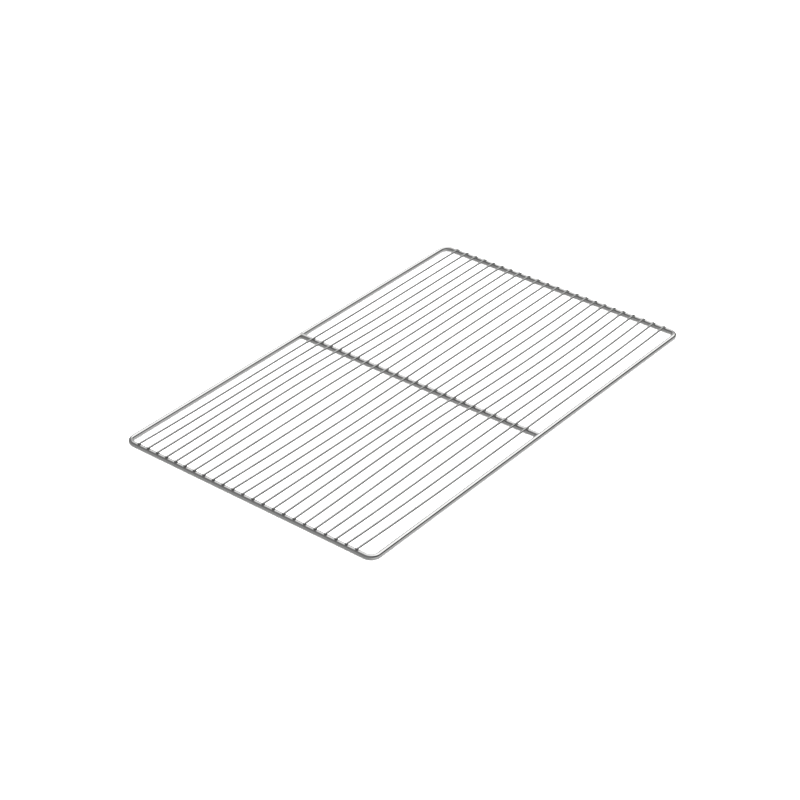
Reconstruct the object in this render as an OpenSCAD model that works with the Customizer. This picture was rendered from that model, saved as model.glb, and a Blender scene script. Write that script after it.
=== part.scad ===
// Cooling rack for bakery and kitchen work: a welded wire grid of the 530 x 325 mm format.
// One round wire is bent into a flat rectangle and closed by a butt weld. A cross bar of the
// same wire spans the middle, level with the frame. Thin straight wires run lengthwise over
// both end bars and the cross bar, and each is resistance-welded where it crosses them, so
// it sits slightly sunk into them. Nothing on the rack moves.
//
// Millimetres. The origin is at the middle of the rack on the surface it stands on: +X runs
// lengthwise towards the back end, +Y towards the left side, and +Z up.

/* [Frame] */
// Length of the frame over its outer edges
frame_l = 530; // [400:5:600]
// Width of the frame over its outer edges
frame_w = 325; // [290:5:400]
// Diameter of the frame wire and of the cross bar
frame_wire_d = 5.5; // [4.5:0.1:6]
// Inner bend radius of the four corners
corner_inner_r = 6.5; // [5:0.5:8]
// How far the cross bar lies from the middle, towards the back end
cross_bar_x = 4; // [-20:1:20]

/* [Grid wires] */
// Number of lengthwise wires
wire_count = 23; // [11:1:27]
// Diameter of a lengthwise wire
wire_d = 2.5; // [2:0.1:3]
// From the frame's outer edge to the centre of the outermost wires
edge_margin = 20.5; // [19:0.5:30]
// From the frame's outer edge to the cut ends of the wires, at the front
front_end_inset = 1.3; // [0.5:0.1:2.5]
// From the frame's outer edge to the cut ends of the wires, at the back
back_end_inset = 3.7; // [0.5:0.1:3.8]
// How deep a wire sinks into each bar where it is welded
weld_set_down = 0.5; // [0.1:0.05:0.7]
// How much of the usual welding drift the wires have, where 0 is a perfectly even grid
weld_drift = 1; // [0:0.1:1]

/* [Hidden] */
$fn = 64;
frame_r = frame_wire_d / 2;
wire_r = wire_d / 2;
// Centre lines of the end bars, of the long sides and of the corner bends
end_bar_x = frame_l / 2 - frame_r;
side_y = frame_w / 2 - frame_r;
bend_r = corner_inner_r + frame_r;
// Tools that cut a surface run past it by this much
cut_over = 1;

// Even places of the wires, from the left side to the right
grid_span = frame_w - 2 * edge_margin;
wire_pitch = grid_span / (wire_count - 1);
// Height of the wires' centre lines: on top of the frame, less the set-down
wire_z = frame_wire_d + wire_r - weld_set_down;
// Wires run between their cut ends
wire_front_x = -(frame_l / 2 - front_end_inset);
wire_back_x = frame_l / 2 - back_end_inset;
wire_length = wire_back_x - wire_front_x;

// Welding drift: the whole row of wires lies slightly askew, and each row of welds strays
// from the even pitch in a slow wave along the bar
skew_front = 1.6;
skew_back = -1.2;
stray = 1;
stray_length_front = 20;
stray_length_back = 11;
stray_start_front = 4;
stray_start_back = 5;

WIRES = [1:wire_count];

// Name of the wire with number i, counted from the left side
function wire_name(i) = str("wire_", i < 10 ? "0" : "", i);

// Sideways place of wire i on an even grid
function even_y(i) = grid_span / 2 - (i - 1) * wire_pitch;

// Sideways drift of weld i in a row whose wave starts at weld s and is n welds long
function wave(i, s, n) = stray * sin(360 * (i - 1 - s) / n);

// Sideways places of wire i at its front and back ends
function front_y(i) = even_y(i) + weld_drift * (skew_front + wave(i, stray_start_front, stray_length_front));
function back_y(i) = even_y(i) + weld_drift * (skew_back + wave(i, stray_start_back, stray_length_back));

// Round bar of length l and diameter d, centred on the origin along X
module bar_along_x(l, d) {
    rotate([0, 90, 0]) cylinder(h = l, d = d, center = true);
}

// Round bar of length l and diameter d, centred on the origin along Y
module bar_along_y(l, d) {
    rotate([90, 0, 0]) cylinder(h = l, d = d, center = true);
}

// Quarter bend of the frame wire, from the +X direction round to +Y
module quarter_bend() {
    rotate_extrude(angle = 90) translate([bend_r, 0]) circle(d = frame_wire_d);
}

// The closed rectangle of frame wire, lying on the surface
module frame() {
    straight_x = 2 * (end_bar_x - bend_r);
    straight_y = 2 * (side_y - bend_r);
    color("silver") translate([0, 0, frame_r]) union() {
        for (s = [-1, 1]) {
            translate([0, s * side_y, 0]) bar_along_x(straight_x, frame_wire_d);
            translate([s * end_bar_x, 0, 0]) bar_along_y(straight_y, frame_wire_d);
        }
        for (mx = [0, 1], my = [0, 1])
            mirror([mx, 0, 0]) mirror([0, my, 0])
                translate([straight_x / 2, straight_y / 2, 0]) quarter_bend();
    }
}

// The bar across the middle, with both ends shaped to the inner faces of the long sides
module cross_bar() {
    color("silver") translate([cross_bar_x, 0, frame_r]) difference() {
        bar_along_y(2 * side_y, frame_wire_d);
        for (s = [-1, 1])
            translate([0, s * side_y, 0]) bar_along_x(4 * frame_wire_d, frame_wire_d);
    }
}

// The three bars that every lengthwise wire sinks into, as cutting tools
module bars_under_wires() {
    for (x = [-end_bar_x, cross_bar_x, end_bar_x])
        translate([x, 0, frame_r]) bar_along_y(frame_w + cut_over, frame_wire_d);
}

// Lengthwise wire i: straight from its front weld to its back weld
module wire(i) {
    askew = atan2(back_y(i) - front_y(i), wire_length);
    middle = [(wire_front_x + wire_back_x) / 2, (front_y(i) + back_y(i)) / 2, wire_z];
    color("gainsboro") difference() {
        translate(middle) rotate([0, 0, askew]) bar_along_x(wire_length, wire_d);
        bars_under_wires();
    }
}

frame();
cross_bar();
for (i = WIRES)
    wire(i);
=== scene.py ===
import math
import random

import bpy
import numpy as np
from mathutils import Matrix, Vector


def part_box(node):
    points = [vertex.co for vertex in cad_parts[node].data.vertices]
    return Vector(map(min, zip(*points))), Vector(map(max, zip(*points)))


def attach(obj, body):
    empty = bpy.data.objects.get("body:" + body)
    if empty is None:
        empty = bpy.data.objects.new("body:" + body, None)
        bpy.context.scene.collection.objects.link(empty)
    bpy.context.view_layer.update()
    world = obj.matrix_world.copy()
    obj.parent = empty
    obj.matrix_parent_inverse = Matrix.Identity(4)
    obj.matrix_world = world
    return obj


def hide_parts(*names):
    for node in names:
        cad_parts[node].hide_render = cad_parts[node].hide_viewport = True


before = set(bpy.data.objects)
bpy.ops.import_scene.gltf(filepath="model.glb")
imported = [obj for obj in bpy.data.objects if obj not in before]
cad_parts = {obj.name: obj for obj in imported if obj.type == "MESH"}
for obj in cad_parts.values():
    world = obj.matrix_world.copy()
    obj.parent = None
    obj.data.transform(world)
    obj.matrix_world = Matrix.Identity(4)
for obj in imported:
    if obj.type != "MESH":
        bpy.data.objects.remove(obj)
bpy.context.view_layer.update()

MM = 0.001
BODY = "root"

# ---------------------------------------------------------------------------
# Sizes, most taken from the imported parts
# ---------------------------------------------------------------------------
FRAME_LOW, FRAME_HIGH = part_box("frame")
BAR_LOW, BAR_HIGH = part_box("cross_bar")
WIRE_NAMES = sorted(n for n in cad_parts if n.startswith("wire_"))
WIRE_LOW, WIRE_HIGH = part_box(WIRE_NAMES[0])

BAR_D = BAR_HIGH.z - BAR_LOW.z                  # frame wire and cross bar
BAR_R = BAR_D / 2
WIRE_D = WIRE_HIGH.z - WIRE_LOW.z               # lengthwise wires
WIRE_R = WIRE_D / 2
WIRE_Z = WIRE_LOW.z + WIRE_R                    # height of their centre lines
END_BAR_X = FRAME_HIGH.x - BAR_R                # centre line of an end bar
SIDE_Y = FRAME_HIGH.y - BAR_R                   # centre line of a long side
CROSS_BAR_X = (BAR_LOW.x + BAR_HIGH.x) / 2
BEND_R = 9.25 * MM                              # corner bends, on the centre line
SET_DOWN = BAR_D - WIRE_LOW.z                   # how deep a wire sinks into a bar

# Fineness of the meshes
BAR_SIDES = 40
WIRE_SIDES = 20
BEAD_SIDES = 8
BEND_STEPS = 14                                 # along one corner bend
STRAIGHT_STEPS = 60                             # along one straight of the frame
BAY_POINTS = 60                                 # along a wire, from one bar to the next

# Welds and cut ends
RIM = 0.22 * MM                                 # rounding of a wire's cut ends
WELD_REACH = 2.0 * MM                           # how far the duller metal reaches from a weld
LIP_SIZE = (0.26 * MM, 0.36 * MM)               # thinnest and thickest lip at a crossing
BEAD_SIZE = 0.24 * MM                           # bead at the ends of the cross bar

# ---------------------------------------------------------------------------
# Camera: a long lens from above the front left corner, looking at the middle
# ---------------------------------------------------------------------------
LENS = 94.71
SENSOR = 36.0
TARGET = Vector((-28.1, -4.7, 0.0)) * MM
DISTANCE = 2.190
HEADING = math.radians(51.23)                   # from +Y towards +X
ELEVATION = math.radians(32.45)
ROLL = math.radians(-0.11)


def make_camera():
    """The scene's camera, aimed as above."""
    away = Vector((
        math.sin(HEADING) * math.cos(ELEVATION),
        math.cos(HEADING) * math.cos(ELEVATION),
        -math.sin(ELEVATION),
    ))
    data = bpy.data.cameras.new("camera")
    data.lens = LENS
    data.sensor_width = SENSOR
    camera = bpy.data.objects.new("camera", data)
    bpy.context.scene.collection.objects.link(camera)
    turn = away.to_track_quat("-Z", "Y").to_matrix() @ Matrix.Rotation(ROLL, 3, "Z")
    camera.rotation_euler = turn.to_euler()
    camera.location = TARGET - away * DISTANCE
    bpy.context.scene.camera = camera


# ---------------------------------------------------------------------------
# Materials
# ---------------------------------------------------------------------------
class Nodes:
    """Short calls for building one material's node tree."""

    def __init__(self, name):
        self.material = bpy.data.materials.new(name)
        self.material.use_nodes = True
        self.tree = self.material.node_tree
        self.shader = self.tree.nodes["Principled BSDF"]

    def add(self, kind, **settings):
        node = self.tree.nodes.new(kind)
        for key, value in settings.items():
            setattr(node, key, value)
        return node

    def link(self, out, into):
        self.tree.links.new(out, into)

    def noise(self, vector, scale, detail=3.0, roughness=0.55):
        node = self.add("ShaderNodeTexNoise")
        node.inputs["Scale"].default_value = scale
        node.inputs["Detail"].default_value = detail
        node.inputs["Roughness"].default_value = roughness
        self.link(vector, node.inputs["Vector"])
        return node.outputs["Fac"]

    def stretch(self, vector, along, across):
        """Scales the lengthwise and the crosswise coordinates on their own."""
        node = self.add("ShaderNodeMapping")
        node.inputs["Scale"].default_value = (along, across, across)
        self.link(vector, node.inputs["Vector"])
        return node.outputs["Vector"]

    def remap(self, value, low, high, from_low=0.3, from_high=0.7):
        node = self.add("ShaderNodeMapRange")
        node.inputs["From Min"].default_value = from_low
        node.inputs["From Max"].default_value = from_high
        node.inputs["To Min"].default_value = low
        node.inputs["To Max"].default_value = high
        self.link(value, node.inputs["Value"])
        return node.outputs["Result"]

    def math(self, operation, a, b):
        node = self.add("ShaderNodeMath", operation=operation)
        for socket, value in zip(node.inputs, (a, b)):
            if isinstance(value, (int, float)):
                socket.default_value = value
            else:
                self.link(value, socket)
        return node.outputs["Value"]

    def mix_colour(self, factor, a, b):
        node = self.add("ShaderNodeMix", data_type="RGBA")
        self.link(factor, node.inputs["Factor"])
        for socket, value in ((node.inputs["A"], a), (node.inputs["B"], b)):
            if isinstance(value, tuple):
                socket.default_value = (*value, 1.0)
            else:
                self.link(value, socket)
        return node.outputs["Result"]

    def attribute(self, name):
        return self.add("ShaderNodeAttribute", attribute_name=name)


def steel(name, bright, dull, roughness, line_depth):
    """Polished stainless wire: fine drawing lines along it, soft clouding from the
    polishing bath, and duller, rougher metal round the welds and on cut ends."""
    n = Nodes(name)
    place = n.attribute("wire_space").outputs["Vector"]
    weld = n.attribute("weld").outputs["Fac"]
    lines = n.noise(n.stretch(place, 14.0, 2600.0), 1.0, detail=4.0)
    clouds = n.noise(n.stretch(place, 60.0, 180.0), 1.0, detail=2.0)
    specks = n.noise(n.stretch(place, 900.0, 1400.0), 1.0, detail=2.0)

    tone = n.math("ADD", n.math("MULTIPLY", lines, 0.5), n.math("MULTIPLY", clouds, 0.5))
    colour = n.mix_colour(n.remap(tone, 0.0, 1.0, 0.35, 0.65), dull, bright)
    burnt = tuple(0.42 * c for c in dull)
    colour = n.mix_colour(n.math("MULTIPLY", weld, n.remap(specks, 0.5, 1.0)), colour, burnt)
    n.link(colour, n.shader.inputs["Base Color"])

    rough = n.math("ADD", n.remap(clouds, 0.8 * roughness, 1.25 * roughness),
                   n.remap(lines, -0.02, 0.03))
    rough = n.math("ADD", rough, n.math("MULTIPLY", weld, 0.28))
    n.link(rough, n.shader.inputs["Roughness"])

    height = n.math("ADD", lines, n.math("MULTIPLY", n.math("MULTIPLY", weld, specks), 3.0))
    bump = n.add("ShaderNodeBump")
    bump.inputs["Strength"].default_value = 0.35
    bump.inputs["Distance"].default_value = line_depth
    n.link(height, bump.inputs["Height"])
    n.link(bump.outputs["Normal"], n.shader.inputs["Normal"])
    n.shader.inputs["Metallic"].default_value = 1.0
    return n.material


# ---------------------------------------------------------------------------
# Meshes
# ---------------------------------------------------------------------------
def new_piece(name, vertices, faces, space, weld, material):
    """One smooth-shaded object that rides with the rack, from lists of numbers."""
    mesh = bpy.data.meshes.new(name)
    mesh.from_pydata([tuple(v) for v in vertices], [], faces)
    mesh.update()
    at = mesh.attributes.new("wire_space", "FLOAT_VECTOR", "POINT")
    at.data.foreach_set("vector", np.asarray(space, np.float32).ravel())
    at = mesh.attributes.new("weld", "FLOAT", "POINT")
    at.data.foreach_set("value", np.asarray(weld, np.float32).ravel())
    mesh.polygons.foreach_set("use_smooth", [True] * len(mesh.polygons))
    mesh.set_sharp_from_angle(angle=math.radians(40))
    mesh.materials.append(material)
    piece = bpy.data.objects.new(name, mesh)
    bpy.context.scene.collection.objects.link(piece)
    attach(piece, BODY)
    return piece


def sweep(path, radii, sides, closed=False):
    """Tube round a level path of points: vertices, faces and wire-space places.
    radii holds one radius for each point. The ends of an open tube are capped."""
    path = np.asarray(path, float)
    count = len(path)
    if closed:
        tangent = np.roll(path, -1, 0) - np.roll(path, 1, 0)
    else:
        tangent = np.gradient(path, axis=0)
    step = np.linalg.norm(np.diff(path, axis=0), axis=1)
    travelled = np.concatenate([[0.0], np.cumsum(step)])
    aside = np.stack([-tangent[:, 1], tangent[:, 0], np.zeros(count)], 1)
    aside /= np.linalg.norm(aside, axis=1)[:, None]
    turn = np.linspace(0, 2 * math.pi, sides, endpoint=False) - math.pi / 2
    radii = np.broadcast_to(radii, count)
    out = radii[:, None] * np.cos(turn)
    up = radii[:, None] * np.sin(turn)
    rings = path[:, None, :] + out[..., None] * aside[:, None, :]
    rings[..., 2] += up
    space = np.stack([np.broadcast_to(travelled[:, None], out.shape), out, up], -1)
    vertices = rings.reshape(-1, 3)
    places = space.reshape(-1, 3)
    faces = []
    for i in range(count if closed else count - 1):
        j = (i + 1) % count
        for a in range(sides):
            b = (a + 1) % sides
            faces.append((i * sides + a, j * sides + a, j * sides + b, i * sides + b))
    if not closed:
        faces.append(tuple(range(sides)))
        faces.append(tuple((count - 1) * sides + a for a in reversed(range(sides))))
    return vertices, faces, places


def frame_path():
    """Points round the frame's centre line: four straights and four round bends."""
    straight_x = END_BAR_X - BEND_R
    straight_y = SIDE_Y - BEND_R
    points = []
    for corner, (sx, sy) in enumerate(((1, 1), (-1, 1), (-1, -1), (1, -1))):
        start = corner * math.pi / 2
        for k in range(BEND_STEPS + 1):
            a = start + math.pi / 2 * k / BEND_STEPS
            points.append((sx * straight_x + BEND_R * math.cos(a),
                           sy * straight_y + BEND_R * math.sin(a), BAR_R))
        last = Vector(points[-1])
        nx, ny = ((-1, 1), (-1, -1), (1, -1), (1, 1))[corner]
        a = start + math.pi / 2
        first = Vector((nx * straight_x + BEND_R * math.cos(a),
                        ny * straight_y + BEND_R * math.sin(a), BAR_R))
        for k in range(1, STRAIGHT_STEPS):
            points.append(tuple(last.lerp(first, k / STRAIGHT_STEPS)))
    return points


def weld_mask(points, spots, reach):
    """1 at a weld spot, falling smoothly to 0 at the given reach from it."""
    points = np.asarray(points)
    mask = np.zeros(len(points))
    for spot in spots:
        gap = np.linalg.norm(points - np.asarray(spot), axis=1)
        near = np.clip(1 - gap / reach, 0, 1)
        mask = np.maximum(mask, near * near * (3 - 2 * near))
    return mask


# ---------------------------------------------------------------------------
# Lengthwise wires
# ---------------------------------------------------------------------------
# Weld by weld, the row on the cross bar strays from the straight line between the
# wire's ends, and the wires cross it at a slight angle, both in slow waves.
MIDDLE_STRAY = (-0.9 * MM, 1.3 * MM, 13.0, 0.0)     # mean, swing, wave length, start
MIDDLE_SLOPE = (-0.019, 0.025, 13.0, 6.8)
FRONT_SLOPE = (-0.020, 0.020, 12.0, 1.0)
BACK_SLOPE = (0.012, 0.022, 30.0, 12.0)


def wave(row, number):
    """Value of a slow wave at wire number, counted from 0."""
    mean, swing, length, start = row
    return mean + swing * math.sin(2 * math.pi * (number - start) / length)


def wire_ends(name):
    """Middle of a CAD wire's front and back end faces."""
    co = np.array([v.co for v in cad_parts[name].data.vertices])
    front = co[co[:, 0] < co[:, 0].min() + 0.5 * WIRE_R]
    back = co[co[:, 0] > co[:, 0].max() - 0.5 * WIRE_R]
    ends = []
    for end, x in ((front, co[:, 0].min()), (back, co[:, 0].max())):
        ends.append(Vector((x, (end[:, 1].min() + end[:, 1].max()) / 2, WIRE_Z)))
    return ends


def hermite(a, slope_a, b, slope_b, xs):
    """Places y at each x on the cubic from a to b, (x, y) pairs, with those slopes."""
    length = b[0] - a[0]
    t = (xs - a[0]) / length
    return ((2 * t**3 - 3 * t**2 + 1) * a[1] + (t**3 - 2 * t**2 + t) * length * slope_a
            + (3 * t**2 - 2 * t**3) * b[1] + (t**3 - t**2) * length * slope_b)


def wire_line(name, number):
    """Centre line of one wire, bowed a little between its three welds."""
    front, back = wire_ends(name)
    share = (CROSS_BAR_X - front.x) / (back.x - front.x)
    middle_y = front.y + (back.y - front.y) * share + wave(MIDDLE_STRAY, number)
    middle = (CROSS_BAR_X, middle_y)
    first = np.linspace(front.x, CROSS_BAR_X, BAY_POINTS)
    second = np.linspace(CROSS_BAR_X, back.x, BAY_POINTS)[1:]
    middle_slope = wave(MIDDLE_SLOPE, number)
    ys = np.concatenate([
        hermite((front.x, front.y), wave(FRONT_SLOPE, number), middle, middle_slope, first),
        hermite(middle, middle_slope, (back.x, back.y), wave(BACK_SLOPE, number), second),
    ])
    xs = np.concatenate([first, second])
    return np.stack([xs, ys, np.full(len(xs), WIRE_Z)], 1)


def y_at(line, x):
    """Sideways place of a centre line where it passes x."""
    return float(np.interp(x, line[:, 0], line[:, 1]))


def make_wire(name, number, material):
    """One lengthwise wire with sheared ends, and where its three welds are."""
    line = wire_line(name, number)
    # each cut end has a narrow rounded rim before the full radius
    start, end = line[0, 0], line[-1, 0]
    xs = np.concatenate([[start, start + 0.3 * RIM, start + RIM], line[1:-1, 0],
                         [end - RIM, end - 0.3 * RIM, end]])
    path = np.stack([xs, np.interp(xs, line[:, 0], line[:, 1]), np.full(len(xs), WIRE_Z)], 1)
    radii = np.full(len(xs), WIRE_R)
    radii[[0, -1]] = WIRE_R - RIM
    radii[[1, -2]] = WIRE_R - 0.35 * RIM
    vertices, faces, places = sweep(path, radii, WIRE_SIDES)
    spots = [(x, y_at(line, x), BAR_D) for x in (-END_BAR_X, CROSS_BAR_X, END_BAR_X)]
    weld = 0.5 * weld_mask(vertices, spots, WELD_REACH)
    weld[:WIRE_SIDES] = 1.0
    weld[-WIRE_SIDES:] = 1.0
    # each wire takes its own stretch of the metal's pattern
    places = places + np.array([number * 0.731, 0, 0])
    piece = new_piece("grid_" + name, vertices, faces, places, weld, material)
    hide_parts(name)
    return spots


# ---------------------------------------------------------------------------
# Frame, cross bar and welds
# ---------------------------------------------------------------------------
def make_frame(material, spots):
    """The bent frame wire, duller where the other wires are welded to it."""
    vertices, faces, places = sweep(frame_path(), BAR_R, BAR_SIDES, closed=True)
    weld = 0.6 * weld_mask(vertices, spots, WELD_REACH)
    piece = new_piece("frame_wire", vertices, faces, places, weld, material)
    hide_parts("frame")


def make_cross_bar(material, spots):
    """Round bar whose ends fit the round inner faces of the long sides."""
    ys = np.linspace(-SIDE_Y, SIDE_Y, 90)
    path = np.stack([np.full(len(ys), CROSS_BAR_X), ys, np.full(len(ys), BAR_R)], 1)
    vertices, faces, places = sweep(path, BAR_R, BAR_SIDES)
    half_width = np.sqrt(np.maximum(BAR_R**2 - (vertices[:, 2] - BAR_R)**2, 0))
    limit = SIDE_Y - half_width
    vertices[:, 1] = np.clip(vertices[:, 1], -limit, limit)
    weld = 0.6 * weld_mask(vertices, spots, WELD_REACH)
    piece = new_piece("middle_bar", vertices, faces, places, weld, material)
    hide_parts("cross_bar")


def collar(curve, thickness):
    """Closed bead of metal round a closed curve in space, thickness at each point."""
    curve = np.asarray(curve, float)
    count, sides = len(curve), BEAD_SIDES
    tangent = np.roll(curve, -1, 0) - np.roll(curve, 1, 0)
    tangent /= np.linalg.norm(tangent, axis=1)[:, None]
    middle = curve.mean(0)
    out = curve - middle
    out -= (out * tangent).sum(1)[:, None] * tangent
    out /= np.linalg.norm(out, axis=1)[:, None]
    up = np.cross(tangent, out)
    turn = np.linspace(0, 2 * math.pi, sides, endpoint=False)
    r = np.asarray(thickness)[:, None, None]
    rings = (curve[:, None, :] + r * np.cos(turn)[None, :, None] * out[:, None, :]
             + r * np.sin(turn)[None, :, None] * up[:, None, :])
    faces = []
    for i in range(count):
        j = (i + 1) % count
        for a in range(sides):
            b = (a + 1) % sides
            faces.append((i * sides + a, i * sides + b, j * sides + b, j * sides + a))
    return rings.reshape(-1, 3), faces


def joined(parts):
    """Vertices and faces of several (vertices, faces) pairs as one mesh."""
    vertices, faces = [], []
    for part, part_faces in parts:
        base = sum(len(v) for v in vertices)
        vertices.append(part)
        faces += [tuple(base + k for k in face) for face in part_faces]
    return np.concatenate(vertices), faces


def crossing_collar(x, y, chance):
    """Lip of metal squeezed out where a wire has sunk into a bar."""
    long_half = math.sqrt(2 * BAR_R * SET_DOWN)
    wide_half = math.sqrt(2 * WIRE_R * SET_DOWN)
    turns = np.linspace(0, 2 * math.pi, 24, endpoint=False)
    across = wide_half * 1.15 * np.sin(turns)
    along = long_half * 1.02 * np.cos(turns)
    height = BAR_D - along**2 / (2 * BAR_R) + 0.04 * MM
    curve = np.stack([x + along, y + across, height], 1)
    phase = chance.uniform(0, 2 * math.pi)
    size = chance.uniform(*LIP_SIZE)
    return collar(curve, size * (1 + 0.25 * np.sin(2 * turns + phase)))


def end_collar(side, chance):
    """Weld bead where the cross bar meets a long side."""
    turns = np.linspace(0, 2 * math.pi, 56, endpoint=False)
    x = CROSS_BAR_X + BAR_R * np.cos(turns)
    y = side * (SIDE_Y - BAR_R * np.abs(np.cos(turns)))
    z = BAR_R + BAR_R * 0.985 * np.sin(turns)
    inward = -side * 0.12 * MM
    phase = chance.uniform(0, 2 * math.pi)
    size = BEAD_SIZE * (0.72 + 0.28 * np.abs(np.cos(turns)) + 0.06 * np.sin(5 * turns + phase))
    z = np.clip(z, size, BAR_D - size * 0.9)
    return collar(np.stack([x, y + inward, z], 1), size)


def make_welds(material, rows):
    """The squeezed-out metal of all welds, one piece for each row."""
    chance = random.Random(7)
    for name, spots in rows.items():
        parts = [crossing_collar(x, y, chance) for x, y, _ in spots]
        if name == "middle_welds":
            parts += [end_collar(side, chance) for side in (-1, 1)]
        vertices, faces = joined(parts)
        new_piece(name, vertices, faces, vertices, np.full(len(vertices), 0.65), material)


# ---------------------------------------------------------------------------
# Studio
# ---------------------------------------------------------------------------
# Brightness of the room that the steel reflects, on the camera's left and on its right
OVERHEAD = (1.05, 1.40)
WALLS = (0.23, 0.09)
FLOOR_SEEN = (0.36, 0.60)
# and of the wall behind the rack
FAR_WALL = 0.62
# Brightness of the room as the camera itself sees it
BACKDROP = 1.1
LAMP_SIZE = 5.0
LAMP_POWER = 420.0
LAMP_HEIGHT = 2.6
FLOOR_SIZE = 12.0
FLOOR_WHITE = 0.92
FLOOR_GAP = 0.02 * MM                           # so that the floor and the rack don't share a plane


def make_room():
    """The world round the rack: bright overhead, darker round the sides. The camera
    itself sees plain white."""
    world = bpy.data.worlds.new("studio")
    world.use_nodes = True
    bpy.context.scene.world = world
    tree = world.node_tree
    nodes, links = tree.nodes, tree.links
    background = nodes["Background"]
    background.inputs["Color"].default_value = (1.0, 1.0, 1.0, 1.0)
    where = nodes.new("ShaderNodeTexCoord").outputs["Generated"]
    away = Vector((math.sin(HEADING), math.cos(HEADING), 0))
    right = Vector((math.cos(HEADING), -math.sin(HEADING), 0))
    up = Vector((0, 0, 1))

    def along(direction):
        """How far the place in the room lies in a direction, from -1 to 1."""
        node = nodes.new("ShaderNodeVectorMath")
        node.operation = "DOT_PRODUCT"
        node.inputs[1].default_value = direction
        links.new(where, node.inputs[0])
        return node.outputs["Value"]

    def blend(value, start, end, a, b):
        """Goes smoothly from a to b as the value goes from start to end."""
        node = nodes.new("ShaderNodeMapRange")
        node.interpolation_type = "SMOOTHSTEP"
        node.inputs["From Min"].default_value = start
        node.inputs["From Max"].default_value = end
        links.new(value, node.inputs["Value"])
        for socket, strength in ((node.inputs["To Min"], a), (node.inputs["To Max"], b)):
            if isinstance(strength, float):
                socket.default_value = strength
            else:
                links.new(strength, socket)
        return node.outputs["Result"]

    side = along(right)
    walls = blend(side, -0.4, 0.4, *WALLS)
    walls = blend(along(away), 0.72, 0.98, walls, FAR_WALL)
    overhead = blend(side, -0.4, 0.5, *OVERHEAD)
    upper = blend(along(up + 0.30 * away + 0.17 * right), 0.74, 0.85, walls, overhead)
    lower = blend(side, -0.4, 0.4, *FLOOR_SEEN)
    room = blend(along(up), -0.10, 0.06, lower, upper)
    path = nodes.new("ShaderNodeLightPath")
    seen = nodes.new("ShaderNodeMix")
    links.new(path.outputs["Is Camera Ray"], seen.inputs["Factor"])
    links.new(room, seen.inputs["A"])
    seen.inputs["B"].default_value = BACKDROP
    links.new(seen.outputs["Result"], background.inputs["Strength"])


def make_lamp():
    """One large soft light overhead, which the steel doesn't mirror."""
    light = bpy.data.lights.new("overhead", "AREA")
    light.shape = "SQUARE"
    light.size = LAMP_SIZE
    light.energy = LAMP_POWER
    lamp = bpy.data.objects.new("overhead", light)
    bpy.context.scene.collection.objects.link(lamp)
    lamp.location = (0, 0, LAMP_HEIGHT)
    lamp.visible_glossy = False


def make_floor():
    """Plain white floor. The steel mirrors the room's lower half in its place."""
    mesh = bpy.data.meshes.new("floor")
    h = FLOOR_SIZE / 2
    mesh.from_pydata([(-h, -h, 0), (h, -h, 0), (h, h, 0), (-h, h, 0)], [], [(0, 1, 2, 3)])
    floor = bpy.data.objects.new("floor", mesh)
    floor.location.z = -FLOOR_GAP
    bpy.context.scene.collection.objects.link(floor)
    n = Nodes("floor_paper")
    n.shader.inputs["Base Color"].default_value = (FLOOR_WHITE, FLOOR_WHITE, FLOOR_WHITE, 1)
    n.shader.inputs["Roughness"].default_value = 0.9
    mesh.materials.append(n.material)
    floor.visible_glossy = False


# ---------------------------------------------------------------------------
# Putting it together
# ---------------------------------------------------------------------------
make_camera()
frame_steel = steel("polished_frame_wire", (0.74, 0.74, 0.73), (0.66, 0.66, 0.655), 0.08, 4e-6)
# The lengthwise wires are the same steel as the frame, painted darker: painted shade that stands in
# for how dark the thin wires look in this light.
grid_steel_painted_darker = steel("drawn_grid_wire", (0.50, 0.50, 0.495), (0.40, 0.40, 0.395), 0.09, 3e-6)
weld_steel = steel("weld_metal", (0.42, 0.42, 0.415), (0.32, 0.32, 0.315), 0.22, 8e-6)

weld_rows = {"front_welds": [], "middle_welds": [], "back_welds": []}
for number, name in enumerate(WIRE_NAMES):
    for row, spot in zip(weld_rows.values(), make_wire(name, number, grid_steel_painted_darker)):
        row.append(spot)
end_spots = [(CROSS_BAR_X, side * (SIDE_Y - BAR_R), BAR_R) for side in (-1, 1)]
make_frame(frame_steel, weld_rows["front_welds"] + weld_rows["back_welds"] + end_spots)
make_cross_bar(frame_steel, weld_rows["middle_welds"] + end_spots)
make_welds(weld_steel, weld_rows)
make_room()
make_lamp()
make_floor()
bpy.context.scene.view_settings.view_transform = "Standard"
